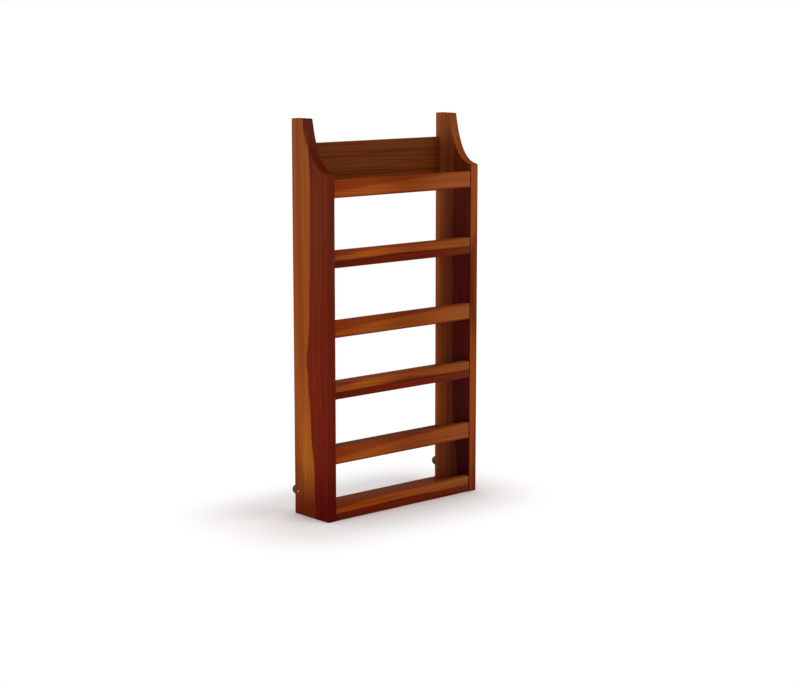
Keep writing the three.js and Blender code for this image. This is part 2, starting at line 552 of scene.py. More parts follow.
    def material(self, name: str) -> bpy.types.Material:
        """Makes the finish.

        Args:
            name: Name of the material.

        Returns:
            The new material.
        """
        made = bpy.data.materials.new(name)
        bench = Bench(made)
        cut = self.read_grain(bench)
        wood = self.colour(bench, cut)
        spots = (value * self.WEAR_SPOTS for value in (cut.along, cut.across, cut.through))
        worn = cut.rubbed * bench.smooth(bench.noise(*spots), *self.WEAR_LEVELS)
        rough = cut.fibre * self.FIBRE_ROUGHNESS + worn * self.WORN_ROUGHNESS + cut.end * self.END_ROUGHNESS
        gloss = self.coat * (1.0 - cut.end) * (1.0 - worn * self.WORN_COAT) if self.coat else 0.0
        relief = cut.fibre * self.FIBRE_RELIEF - cut.pore * self.PORE_RELIEF - cut.vein * self.VEIN_RELIEF
        bump = {"Strength": self.BUMP_STRENGTH, "Distance": self.BUMP_DEPTH, "Height": relief}
        lacquer = bench.add(
            "ShaderNodeBsdfPrincipled",
            inputs={
                "Base Color": bench.mix(worn, wood, self.RUBBED, "MULTIPLY"),
                "Roughness": self.roughness + rough,
                "Specular IOR Level": self.SPECULAR,
                "Coat Weight": gloss,
                "Coat Roughness": self.COAT_ROUGHNESS,
                "Normal": bench.add("ShaderNodeBump", inputs=bump),
            },
        )
        bench.add("ShaderNodeOutputMaterial", inputs={"Surface": lacquer})
        return made


@dataclass(frozen=True)
class BorderLine:
    """The line along a board where one wood meets another.

    Attributes:
        away: Distance of the line from an edge of the board.
        edge: Place of that edge across the board, from which the distances go down.
        softness: Half the width over which the two woods meet.
        ragged: How far the streaks of the grain push the line to and fro.
        lead: Width over which the near wood darkens towards the line: painted shade.
        lead_share: Share of the far wood that this painted shade reaches at the line.
    """

    away: Course
    edge: float
    softness: float = 0.003
    ragged: float = 0.006
    lead: float = 0.02
    lead_share: float = 0.0

    STREAK_MEAN = 0.5

    def beyond(self, bench: Bench, cut: GrainFields) -> Shade:
        """Share of the wood that lies further from the edge than the line does.

        Args:
            bench: The node tree.
            cut: The grain.

        Returns:
            The share, from 0 to 1.
        """
        pushed = (cut.streak - self.STREAK_MEAN) * self.ragged
        past = self.edge - cut.across - self.away.read(bench, cut.along) + pushed
        share = bench.smooth(past, -self.softness, self.softness)
        # Painted shade: the near wood darkens towards the far one as it nears the line.
        if self.lead_share:
            share = bench.math("MAXIMUM", share, bench.smooth(past, -self.lead, 0.0) * self.lead_share)
        return share


@dataclass(frozen=True)
class BandedWood(LacqueredWood):
    """Wood of a board that was sawn across the borders of several woods.

    Attributes:
        bands: Borders across the board, one after the other from its edge, and the wood beyond each.
    """

    bands: tuple[tuple[BorderLine, Tone], ...] = ()

    def colour(self, bench: Bench, cut: GrainFields) -> Shade:
        """The first wood at the edge, and the next one beyond each border.

        Args:
            bench: The node tree.
            cut: The grain.

        Returns:
            The colour.
        """
        wood = super().colour(bench, cut)
        for line, tone in self.bands:
            wood = bench.mix(self.beyond(bench, cut, line), wood, self.tint(bench, cut, tone))
        return wood

    def beyond(self, bench: Bench, cut: GrainFields, line: BorderLine) -> Shade:
        """Share of the wood beyond a border."""
        return line.beyond(bench, cut)


@dataclass(frozen=True)
class SkinnedWood(BandedWood):
    """Wood of a side board whose heartwood is only a skin on the inner face.

    Attributes:
        face: Place of the inner face.
        skin: Thickness of the heartwood.
        streak: How deep a brown streak goes into the front edge from the outer face.
        thickness: Thickness of the board.
        front: Place of the front edge.
    """

    face: float = 0.0
    skin: float = 0.001
    streak: Optional[Course] = None
    thickness: float = 0.026
    front: float = 0.0

    BLUR = 0.003
    STREAK_BLUR = 0.010
    STREAK_FADE = (0.0045, 0.015)
    STREAK_TINT = (0.56, 0.44, 0.36, 1.0)

    def beyond(self, bench: Bench, cut: GrainFields, line: BorderLine) -> Shade:
        """Share of heartwood: beyond the border, and no deeper than the skin."""
        deep = bench.smooth(abs(cut.through - self.face), self.skin, self.skin + self.BLUR)
        return super().beyond(bench, cut, line) * (1.0 - deep)

    def colour(self, bench: Bench, cut: GrainFields) -> Shade:
        """Sapwood and a skin of heartwood, with the streak laid over the front edge.

        Args:
            bench: The node tree.
            cut: The grain.

        Returns:
            The colour.
        """
        outside = self.face + self.thickness - cut.through - self.streak.read(bench, cut.along)
        inside = 1.0 - bench.smooth(outside, -self.STREAK_BLUR, self.STREAK_BLUR)
        near_front = 1.0 - bench.smooth(cut.across - self.front, *self.STREAK_FADE)
        return bench.mix(inside * near_front, super().colour(bench, cut), self.STREAK_TINT, "MULTIPLY")


SAPWOOD = Tone(pigment(156, 80, 26), pigment(128, 56, 14), pigment(98, 34, 6))
HEARTWOOD = Tone(pigment(110, 28, 6), pigment(92, 16, 4), pigment(66, 6, 1))
GOLDEN_WOOD = Tone(pigment(166, 82, 26), pigment(136, 58, 13), pigment(100, 30, 4))
UMBER_WOOD = Tone(pigment(138, 56, 12), pigment(112, 40, 6), pigment(88, 22, 2))
# The red of painted shade along the eased lower edges of the lips and rails.
EDGE_SHADE_RED = Tone(pigment(116, 38, 8), pigment(96, 24, 5), pigment(74, 12, 2))
SHELF_WOOD = Tone(pigment(112, 32, 8), pigment(92, 20, 5), pigment(70, 10, 2))
BACK_WOOD = Tone(pigment(114, 56, 22), pigment(86, 36, 12), pigment(68, 24, 5))
KNOB_WOOD = Tone(pigment(106, 64, 40), pigment(80, 46, 26), pigment(52, 30, 16))
PIN_WOOD = Tone(pigment(224, 152, 112), pigment(198, 126, 86), pigment(152, 92, 56))
DOWEL_WOOD = Tone(pigment(214, 176, 124), pigment(190, 146, 94), pigment(150, 106, 64))


@dataclass(frozen=True)
class EasedEdge:
    """A hand-eased edge: a quarter round between two flat faces.

    Attributes:
        radius: Radius of the quarter round.
        steps: Number of facets of the quarter round.
    """

    radius: float = 1.6 * MILLIMETRE
    steps: int = 6

    SWELL = 0.2
    SWELL_PACE = 31.0
    SWELL_SHIFT = 17.0

    def profile(self) -> tuple[Array, Array, Array]:
        """Points of the edge, given by their distances from its two faces.

        Along the quarter round the first distance is radius * (1 - cos turn), the second is
        radius * (1 - sin turn), and the rubbing is sin of twice the turn, so it is strongest in the middle.

        Returns:
            Distance from the first face, distance from the second, and the rubbing from 0 to 1.
        """
        turn = np.linspace(0.0, math.pi / 2, self.steps + 1)
        return self.radius * (1.0 - np.cos(turn)), self.radius * (1.0 - np.sin(turn)), np.sin(2.0 * turn)

    def swell(self, along: Array, height: float) -> Array:
        """How the easing swells and shrinks along a board: 1 plus a low sine, shifted by the height."""
        return 1.0 + self.SWELL * np.sin(along * self.SWELL_PACE + height * self.SWELL_SHIFT)


def stacked(name: str, stations: Array, loops: Array, rubbed: Array, axis: int = 0) -> bpy.types.Object:
    """Makes a closed piece from loops of points that are stacked along an axis.

    A wall of quads joins each loop to the next, and the first and last loops are closed by flat faces.

    Args:
        name: Name of the piece.
        stations: Place of each loop along the axis, rising.
        loops: Points in the plane of the next two axes, counter-clockwise, shape (stations, points, 2).
        rubbed: Rubbing of each point, from 0 to 1, shape (stations, points).
        axis: Number of the axis.

    Returns:
        The new object.
    """
    points = np.empty((*loops.shape[:2], 3))
    points[..., axis] = stations[:, None]
    points[..., (axis + 1) % 3] = loops[..., 0]
    points[..., (axis + 2) % 3] = loops[..., 1]
    index = np.arange(loops[..., 0].size).reshape(loops.shape[:2])
    ahead = np.roll(index, -1, axis=1)
    walls = np.stack((index[:-1], ahead[:-1], ahead[1:], index[1:]), axis=-1).reshape(-1, 4)
    ends = [index[0, ::-1].tolist(), index[-1].tolist()]
    mesh = bpy.data.meshes.new(name)
    mesh.from_pydata(points.reshape(-1, 3).tolist(), [], walls.tolist() + ends)
    shares = mesh.attributes.new("rubbed", "FLOAT", "POINT")
    shares.data.foreach_set("value", np.ascontiguousarray(rubbed, dtype=np.float32).ravel())
    piece = bpy.data.objects.new(name, mesh)
    bpy.context.scene.collection.objects.link(piece)
    return piece


def shade_faces(piece: bpy.types.Object) -> None:
    """Rounds the shading of eased edges and keeps flat faces flat and cut edges sharp.

    Args:
        piece: The piece.
    """
    piece.data.polygons.foreach_set("use_smooth", np.ones(len(piece.data.polygons), dtype=bool))
    piece.data.set_sharp_from_angle(angle=SHARP_ANGLE)
    flat_faces = piece.modifiers.new("flat_faces", "WEIGHTED_NORMAL")
    flat_faces.keep_sharp = True


def settle(
    piece: bpy.types.Object, slot: Slot, finish: LacqueredWood, *nodes: str, shared: str = ""
) -> None:
    """Finishes a piece, lets it ride with the rack and stand for its nodes.

    Args:
        piece: The new piece.
        slot: The record's slot for its finish; not used.
        finish: Its wood.
        nodes: The nodes that it stands for.
        shared: Name of the finish where several pieces share it.
    """
    shade_faces(piece)
    title = f"{shared or piece.name}_finish"
    piece.data.materials.append(bpy.data.materials.get(title) or finish.material(title))
    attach(piece, BODY)
    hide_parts(*nodes)
    log.info("%s stands for %s", piece.name, ", ".join(nodes))


def bezier(controls: Sequence[Sequence[float]], steps: int) -> Array:
    """Points of a Bezier curve: the control points weighted by the Bernstein polynomials.

    Args:
        controls: The control points.
        steps: Number of equal steps of the parameter.

    Returns:
        The points, from the first control point to the last.
    """
    order = len(controls) - 1
    share = np.linspace(0.0, 1.0, steps + 1)[:, None]
    power = np.arange(order + 1)[None, :]
    counts = np.array([math.comb(order, number) for number in range(order + 1)])
    return counts * share**power * (1.0 - share) ** (order - power) @ np.asarray(controls)


def inset(loop: Array, depths: Array) -> Array:
    """Moves a loop inwards by several depths, each point along the mitre of its two edges.

    Args:
        loop: Counter-clockwise points, shape (points, 2).
        depths: How far to move in.

    Returns:
        One loop for each depth, shape (depths, points, 2).
    """
    edge = np.roll(loop, -1, axis=0) - loop
    edge /= np.linalg.norm(edge, axis=1, keepdims=True)
    inward = np.stack((-edge[:, 1], edge[:, 0]), axis=1)
    mitre = inward + np.roll(inward, 1, axis=0)
    mitre *= 2.0 / (mitre**2).sum(axis=1, keepdims=True)
    return loop[None] + depths[:, None, None] * mitre[None]


def node_box(node: str) -> tuple[Array, Array]:
    """Lowest and highest corner of a node, as arrays."""
    low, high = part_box(node)
    return np.array(low), np.array(high)


def circle(points: int) -> Array:
    """Points of a unit circle, counter-clockwise: cosine and sine of equal steps, shape (points, 2)."""
    angle = np.linspace(0.0, 2.0 * math.pi, points, endpoint=False)
    return np.stack((np.cos(angle), np.sin(angle)), axis=-1)


def eased_bar(
    name: str, node: str, edge: EasedEdge, shoulder: float = 0.0, stop: float = 0.0
) -> bpy.types.Object:
    """Makes a board that runs across the rack, from the box of its node.

    An eased rectangle in y and z is carried along x. Its easing swells and shrinks a little along the
    board, as an edge that was eased by hand does. Beyond the shoulder, on either side, the board goes on as
    a square tongue whose front lies at the stop.

    Args:
        name: Name of the piece.
        node: The node that gives its box.
        edge: Its easing.
        shoulder: Half the length between the tongues, or 0 where there are none.
        stop: Front of the tongues.

    Returns:
        The new object.
    """
    low, high = node_box(node)
    half = shoulder or high[0]
    body = np.linspace(-half, half, BAR_STATIONS)
    tongues = np.array((high[0], half + TONGUE_STEP)) if shoulder else np.empty(0)
    stations = np.concatenate((-tongues, body, tongues[::-1]))
    on_tongue = np.abs(stations) > half
    easing = np.where(on_tongue, TONGUE_EASING, edge.swell(stations, low[2]))
    first, second, rubbed = edge.profile()
    near, far = easing[:, None] * first, easing[:, None] * second
    front = np.where(on_tongue, stop, low[1])[:, None]
    y = np.concatenate((high[1] - near, front + far, front + near, high[1] - far), axis=1)
    z = np.concatenate((high[2] - far, high[2] - near, low[2] + far, low[2] + near), axis=1)
    loops = np.stack((y, z), axis=-1)
    return stacked(name, stations, loops, np.where(on_tongue[:, None], 0.0, np.tile(rubbed, 4)))


def turned(name: str, profile: Array, centre: Sequence[float], axis: int, facets: int) -> bpy.types.Object:
    """Makes a turned piece: a profile of places and radii that goes once round an axis.

    Args:
        name: Name of the piece.
        profile: Place along the axis, rising, and radius, shape (stations, 2).
        centre: Place of the axis on the next two axes.
        axis: Number of the axis.
        facets: Number of points round it.

    Returns:
        The new object.
    """
    loops = np.asarray(centre) + profile[:, 1, None, None] * circle(facets)
    return stacked(name, profile[:, 0], loops, np.zeros(loops.shape[:2]), axis)


def bore(low: Array, high: Array, axis: int) -> bpy.types.Object:
    """Makes a cutter for a round hole: the cylinder that fills a box, a glue line wider and longer.

    Args:
        low: Lowest corner of the box.
        high: Highest corner of the box.
        axis: Number of the axis that the hole runs along.

    Returns:
        The cutter.
    """
    beside = [(axis + 1) % 3, (axis + 2) % 3]
    radius = (high - low)[beside].max() / 2 + GLUE_LINE
    profile = np.array(((low[axis] - GLUE_LINE, radius), (high[axis] + GLUE_LINE, radius)))
    return turned("bore", profile, (low + high)[beside] / 2, axis, BORE_FACETS)


def dowel_bores(mark: str) -> list[bpy.types.Object]:
    """Cutters for the holes of every dowel whose name holds the mark of a board."""
    return [bore(*node_box(node), axis=0) for node in DOWEL_NODES if mark in node]


def carve(piece: bpy.types.Object, cutters: Sequence[bpy.types.Object]) -> None:
    """Cuts the cutters out of a piece, and removes them.

    Args:
        piece: The piece, whose mesh is replaced.
        cutters: Closed shapes.
    """
    group = bpy.data.collections.new("cutters")
    for cutter in cutters:
        group.objects.link(cutter)
    cut = piece.modifiers.new("cut", "BOOLEAN")
    cut.operand_type = "COLLECTION"
    cut.collection = group
    cut.operation = "DIFFERENCE"
    cut.solver = "EXACT"
    view = bpy.context.evaluated_depsgraph_get()
    piece.data = bpy.data.meshes.new_from_object(piece.evaluated_get(view), depsgraph=view)
    piece.modifiers.clear()
    for cutter in cutters:
        bpy.data.objects.remove(cutter)
    bpy.data.collections.remove(group)


@dataclass
class SideBoards:
    """The two upright boards, each with a scooped top front, housings for the shelves and holes.

    Attributes:
        stops: The wall stops, which are let into the backs of the boards.
        top_depth: Depth of the board at its top.
        scoop_drop: Height of the scoop.
        upper_pull: Drop of the upper control point of the scoop's curve.
        upper_lean: How far that point lies in front of the top.
        lower_pull: How far the lower control point lies behind the front.
        lower_rise: Rise of that point above the shoulder.
        corner: Rounding of the board's corners.
        housing_depth: Depth of a shelf housing.
        housing_stop: Distance of a housing from the front edge.
        housing_past: How far the cutter of a housing stands out of the board.
        edge: Easing of the edges.
        pieces: The boards, by their side of the rack.
    """

    stops: "WallStops"
    top_depth: float = 50.0 * MILLIMETRE
    scoop_drop: float = 127.0 * MILLIMETRE
    upper_pull: float = 75.0 * MILLIMETRE
    upper_lean: float = 15.0 * MILLIMETRE
    lower_pull: float = 50.0 * MILLIMETRE
    lower_rise: float = 6.0 * MILLIMETRE
    corner: float = 2.6 * MILLIMETRE
    housing_depth: float = 8.0 * MILLIMETRE
    housing_stop: float = HOUSING_STOP
    housing_past: float = 1.0 * MILLIMETRE
    edge: EasedEdge = EasedEdge(radius=1.8 * MILLIMETRE)
    pieces: dict[Hand, bpy.types.Object] = field(default_factory=dict)

    SCOOP_STEPS = 36
    CORNER_STEPS = 4

    def outline(self, low: Array, high: Array) -> Array:
        """Outline of a board in y and z, counter-clockwise from its front foot.

        Straight edges with rounded corners, and a Bezier curve for the scoop.

        Args:
            low: Lowest corner of the board.
            high: Highest corner of the board.

        Returns:
            The points, shape (points, 2).
        """
        (front, foot), (back, top) = low[1:], high[1:]
        shoulder = top - self.scoop_drop
        neck = back - self.top_depth
        scoop = bezier(
            (
                (neck, top),
                (neck - self.upper_lean, top - self.upper_pull),
                (front + self.lower_pull, shoulder + self.lower_rise),
                (front, shoulder),
            ),
            self.SCOOP_STEPS,
        )
        corners = np.array(((front, foot), (back, foot), (back, top), (neck, top), (front, shoulder)))
        before = np.array(((front, shoulder), (front, foot), (back, foot), (back, top), scoop[-2]))
        after = np.array(((back, foot), (back, top), (neck, top), scoop[1], (front, foot)))
        rounded = [self.round_off(*points) for points in zip(before, corners, after)]
        return np.concatenate((*rounded[:4], scoop[1:-1], rounded[4]))

    def round_off(self, before: Array, corner: Array, after: Array) -> Array:
        """Rounds a corner: a Bezier curve whose middle control point is the corner.

        Args:
            before: The point before the corner.
            corner: The corner.
            after: The point after it.

        Returns:
            The points of the curve.
        """
        sides = np.stack((before, after)) - corner
        start, end = corner + self.corner * sides / np.linalg.norm(sides, axis=1, keepdims=True)
        return bezier((start, corner, end), self.CORNER_STEPS)

    def build(self) -> None:
        """Makes both boards: the outline carried through the thickness, drawn in at the eased edges."""
        depth, drawn_in, rubbed = self.edge.profile()
        for hand in Hand:
            low, high = node_box(f"{hand.word}_side")
            stations = np.concatenate((low[0] + depth, high[0] - depth[::-1]))
            loops = inset(self.outline(low, high), np.concatenate((drawn_in, drawn_in[::-1])))
            worn = np.broadcast_to(np.concatenate((rubbed, rubbed[::-1]))[:, None], loops.shape[:2])
            self.pieces[hand] = stacked(f"{hand.word}_side_board", stations, loops, worn)
            housings = [self.housing(hand, level, low, high) for level in Level]
            carve(self.pieces[hand], housings + dowel_bores(f"_{hand.word}_") + self.stops.bores(hand))

    def housing(self, hand: Hand, level: Level, low: Array, high: Array) -> bpy.types.Object:
        """Makes the cutter for a shelf's stopped housing in the inner face of a board.

        Args:
            hand: Which board.
            level: Which shelf.
            low: Lowest corner of the board.
            high: Highest corner of the board.

        Returns:
            The cutter.
        """
        inner = low[0] if hand is Hand.RIGHT else high[0]
        ends = np.sort((inner - hand.value * self.housing_past, inner + hand.value * self.housing_depth))
        square = np.array(((0, 0), (1, 0), (1, 1), (0, 1)))
        shelf_low, shelf_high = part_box(f"{level.value}_shelf")
        corner = np.array((low[1] + self.housing_stop, shelf_low.z - GLUE_LINE))
        size = np.array((high[1] + self.housing_past, shelf_high.z + GLUE_LINE)) - corner
        loops = np.broadcast_to(corner + square * size, (2, 4, 2))
        return stacked("housing", ends, loops, np.zeros((2, 4)))

    def dress(self) -> None:
        """Gives each board its own wood, with heartwood beyond a line that wanders up the board, under
        stains that carry painted light.
        """
        low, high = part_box("left_side")
        right_low, right_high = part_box("right_side")
        foot, back, top = low.z, high.y, high.z
        left_line = Course(
            (
                (foot, 0.083), (0.135, 0.076), (0.210, 0.068), (0.300, 0.061), (0.358, 0.054),
                (0.395, 0.048), (0.433, 0.055), (0.500, 0.063), (0.690, 0.067), (0.837, 0.069),
                (0.912, 0.061), (0.950, 0.051), (top, 0.044),
            )
        )
        right_line = Course(
            (
                (foot, 0.088), (0.170, 0.073), (0.263, 0.069), (0.527, 0.065), (0.870, 0.065),
                (0.930, 0.085), (top, 0.120),
            )
        )
        right_streak = Course(
            (
                (foot, 0.014), (0.130, 0.012), (0.270, 0.006), (0.330, 0.006), (0.430, 0.014),
                (0.540, 0.034), (0.620, 0.030), (0.690, 0.008), (0.780, 0.002), (top, 0.0),
            )
        )
        left_flame = Course(((foot, 0.022), (0.150, 0.027), (0.350, 0.024), (top, 0.020)))
        # The stains below darken their wood towards the foot as painted shade near the floor, and raise
        # green and blue towards the top as a painted sheen.
        left_heart = HEARTWOOD.stained(
            (foot, (0.62, 0.22, 0.3)), (0.060, (0.62, 0.34, 0.45)), (0.135, (0.88, 0.9, 0.85)),
            (0.300, (1.04, 1.38, 1.4)), (0.450, (0.97, 1.4, 1.6)), (0.700, (0.88, 1.8, 2.6)),
            (0.870, (0.84, 1.8, 2.6)), (top, (0.68, 1.25, 2.0)),
        )
        # The right heartwood faces into the pockets, and its stain is darker than the left's, most of all
        # low down: painted shade.
        right_heart = HEARTWOOD.stained(
            (foot, (0.34, 0.1, 0.1)), (0.150, (0.47, 0.22, 0.15)), (0.300, (0.72, 0.36, 0.25)),
            (0.600, (0.78, 0.55, 0.3)), (0.800, (0.74, 1.2, 0.9)), (0.870, (0.72, 1.9, 2.0)),
            (top, (0.8, 1.6, 2.0)),
        )
        left = BandedWood(
            SAPWOOD.stained(
                (foot, (0.38, 0.22, 0.2)), (0.045, (0.47, 0.38, 0.38)), (0.120, (0.66, 0.58, 0.55)),
                (0.200, (0.86, 0.9, 0.95)), (0.350, (0.93, 0.98, 1.0)), (0.700, (0.88, 0.94, 1.2)),
                (top, (0.86, 1.0, 1.8)),
            ),
            figure=Figure(pith=(0.21, 0.03)),
            grain=Grain.UPRIGHT,
            seed=3,
            bands=(
                (
                    BorderLine(left_flame, back, softness=0.009, ragged=0.010),
                    SAPWOOD.stained(
                        (foot, (0.38, 0.2, 0.15)), (0.045, (0.48, 0.36, 0.25)), (0.120, (1.0, 1.2, 0.95)),
                        (0.165, (1.12, 1.4, 1.15)), (0.260, (1.03, 1.1, 1.05)), (0.410, (0.86, 0.82, 0.9)),
                        (0.700, (0.83, 0.88, 1.15)), (top, (0.86, 1.03, 1.8)),
                    ),
                ),
                (BorderLine(left_line, back, softness=0.0025, ragged=0.0045), left_heart),
            ),
        )
        right = SkinnedWood(
            SAPWOOD.stained(
                (foot, (0.66, 0.58, 0.65)), (0.100, (0.92, 0.92, 0.95)), (0.300, (1.04, 1.06, 1.05)),
                (0.450, (0.95, 0.96, 1.0)), (0.700, (0.98, 1.08, 1.8)), (top, (0.84, 0.94, 1.6)),
            ),
            figure=Figure(pith=(0.18, 0.04)),
            grain=Grain.UPRIGHT,
            seed=8,
            # This border also paints a shade on the inner face that deepens towards the heartwood.
            bands=((BorderLine(right_line, back, lead=0.06, lead_share=0.64), right_heart),),
            face=right_low.x,
            streak=right_streak,
            thickness=right_high.x - right_low.x,
            front=right_low.y,
        )
        for hand, wood in ((Hand.LEFT, left), (Hand.RIGHT, right)):
            settle(self.pieces[hand], Slot.SIDE, wood, f"{hand.word}_side")


@dataclass
class Pocket:
    """One pocket: a shelf, a lip that stands on the front of it, and a rail above the lip.

    The lines and tints of its woods stand at equal steps from left to right.

    Attributes:
        level: Which pocket.
        seed: First seed of its woods.
        lip_tints: The lip's stain, with a painted sheen that makes it bluer towards the right end.
        lip_crest: Depth of the brown wood along the top of the lip, which is partly painted shade on its top
            edge.
        lip_line: Depth at which the golden wood of the lip turns to the red of painted shade along its lower
            edge.
        rail_tints: The rail's stain, with painted light: darker towards the right end as painted falloff of
            the light, and bluer there as a painted sheen.
        rail_line: Depth at which the brown wood of the rail turns golden.
        rail_foot: Depth at which the golden wood of the rail turns to the red of painted shade along its
            lower edge.
        shelf_tints: The shelf's stain, with a painted sheen that makes it bluer towards the right end.
        shelf_line: Distance from the back at which the brown wood of the shelf turns red.
        tongue_stop: Distance of the shelf's tongues from the front of the side boards.
        shelf_edge: Easing of the shelf.
        front_edge: Easing of the lip and the rail.
        pieces: The boards, by the last words of their nodes.
    """

    level: Level
    seed: int
    # The tints carry painted light: blue rising towards the right end is a painted sheen, and the rail's red
    # falling there is painted falloff of the light.
    lip_tints: tuple[Tint, ...] = (
        (0.76, 0.86, 1.0), (1.06, 1.20, 1.05), (0.78, 0.76, 0.85), (0.79, 0.93, 1.25), (0.74, 1.06, 1.9)
    )
    # The brown crest is partly painted shade on the lip's top edge, and the red below the line is painted
    # shade on the lower edge.
    lip_crest: tuple[float, ...] = (0.0125, 0.005, 0.003, 0.0025, 0.0)
    lip_line: tuple[float, ...] = (0.026, 0.0235, 0.0195, 0.022, 0.022)
    rail_tints: tuple[Tint, ...] = (
        (0.96, 0.80, 0.55), (0.99, 1.12, 1.15), (0.72, 0.65, 0.6), (0.79, 0.86, 1.25), (0.78, 1.0, 2.1)
    )
    rail_line: tuple[float, ...] = (0.025, 0.019, 0.010, 0.004, 0.0)
    # Below this line the rail's red is painted shade on its eased lower edge.
    rail_foot: tuple[float, ...] = (0.038, 0.0372, 0.038)
    shelf_tints: tuple[Tint, ...] = (
        (0.66, 0.56, 0.6), (0.84, 0.80, 0.75), (0.96, 0.95, 1.0), (0.96, 1.15, 1.4), (0.92, 1.9, 2.4)
    )
    shelf_line: tuple[float, ...] = (0.078, 0.086, 0.080, 0.087, 0.091)
    tongue_stop: float = HOUSING_STOP
    shelf_edge: EasedEdge = EasedEdge(radius=1.2 * MILLIMETRE)
    front_edge: EasedEdge = EasedEdge(radius=1.8 * MILLIMETRE)
    pieces: dict[str, bpy.types.Object] = field(default_factory=dict)

    def build(self) -> None:
        """Makes the shelf with its tongues, the lip and the rail."""
        name = self.level.value
        side_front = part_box("left_side")[0].y
        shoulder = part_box(f"{name}_lip")[1].x
        stop = side_front + self.tongue_stop + GLUE_LINE
        self.pieces["shelf"] = eased_bar(
            f"{name}_shelf_board", f"{name}_shelf", self.shelf_edge, shoulder, stop
        )
        self.pieces["lip"] = eased_bar(f"{name}_lip_strip", f"{name}_lip", self.front_edge)
        self.pieces["front_rail"] = eased_bar(f"{name}_rail_board", f"{name}_front_rail", self.front_edge)
        for part in ("lip", "front_rail"):
            carve(self.pieces[part], dowel_bores(f"{name}_{part}_"))

    def dress(self) -> None:
        """Brown and dark red wood for the shelf, and three woods each for the lip and the rail, the last of
        them painted shade on the lower edge.
        """
        flat = Figure(ring=0.006, pith=(0.05, 0.12))
        shelf_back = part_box(f"{self.level.value}_shelf")[1].y
        shelf_border = BorderLine(Course(self.spread(self.shelf_line)), shelf_back, softness=0.006)
        shelf_front = SHELF_WOOD.stained(*self.spread(self.shelf_tints))
        shelf = BandedWood(UMBER_WOOD, flat, Grain.FLAT, self.seed, bands=((shelf_border, shelf_front),))
        lip = self.front_wood(
            self.lip_tints,
            (self.border("lip", self.lip_crest), self.border("lip", self.lip_line)),
            self.seed + 1,
        )
        rail = self.front_wood(
            self.rail_tints,
            (
                self.border("front_rail", self.rail_line, softness=0.005),
                self.border("front_rail", self.rail_foot),
            ),
            self.seed + 2,
        )
        for part, slot, wood in (
            ("shelf", Slot.SHELF, shelf), ("lip", Slot.RAIL, lip), ("front_rail", Slot.RAIL, rail)
        ):
            settle(self.pieces[part], slot, wood, f"{self.level.value}_{part}")

    def front_wood(
        self, tints: Sequence[Tint], borders: tuple[BorderLine, BorderLine], seed: int
    ) -> BandedWood:
        """Wood of a front board: brown at the top, then golden, then the red of painted shade along the
        lower edge, under one stain with painted light.

        Args:
            tints: The stain, with its painted sheen and painted falloff of the light.
            borders: Where the brown wood turns golden, and where that turns to the red of painted shade.
            seed: Seed of the wood.

        Returns:
            The wood.
        """
        rift = Figure(ring=0.008, pith=(0.05, 0.06), lean=0.05)
        # The third tone is the red of painted shade along the lower edge.
        brown, *others = (tone.stained(*self.spread(tints)) for tone in (UMBER_WOOD, GOLDEN_WOOD, EDGE_SHADE_RED))
        return BandedWood(brown, rift, Grain.CROSSWISE, seed, bands=tuple(zip(borders, others)))

    def border(self, part: str, depths: tuple[float, ...], softness: float = 0.0035) -> BorderLine:
        """A border along a board across the rack.

        Args:
            part: Which board.
            depths: Distances of the border from the top of the board.
            softness: Half the width over which the two woods meet.

        Returns:
            The border.
        """
        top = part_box(f"{self.level.value}_{part}")[1].z
        return BorderLine(Course(self.spread(depths)), top, softness=softness, ragged=0.003)

    def spread(self, values: Sequence[Any]) -> tuple[tuple[float, Any], ...]:
        """Values at equal steps along the front boards, each with its place."""
        low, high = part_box(f"{self.level.value}_lip")
        return tuple(zip(np.linspace(low.x, high.x, len(values)).tolist(), values))


@dataclass
class BackBoards:
    """The boards across the back: a slat in each of the two lower pockets and the rail near the top.

    Attributes:
        edge: Easing of the edges.
        nodes: The nodes of the boards.
        seed: First seed of their woods.
        pieces: The boards, by the names of their nodes.
    """

    edge: EasedEdge = EasedEdge(radius=1.6 * MILLIMETRE)
    nodes: tuple[str, ...] = ("bottom_back_slat", "middle_back_slat", "top_back_rail")
    seed: int = 40
    pieces: dict[str, bpy.types.Object] = field(default_factory=dict)

    def build(self) -> None:
        """Makes the three boards."""
        for node in self.nodes:
            self.pieces[node] = eased_bar(f"{node}_board", node, self.edge)
            carve(self.pieces[node], dowel_bores(f"{node}_"))

    def dress(self) -> None:
        """Brown wood, with its own figure on each board."""
        figure = Figure(ring=0.009, pith=(0.04, 0.07))
        for number, (node, piece) in enumerate(self.pieces.items()):
            wood = LacqueredWood(BACK_WOOD, figure, Grain.CROSSWISE, self.seed + number)
            settle(piece, Slot.BACK, wood, node)


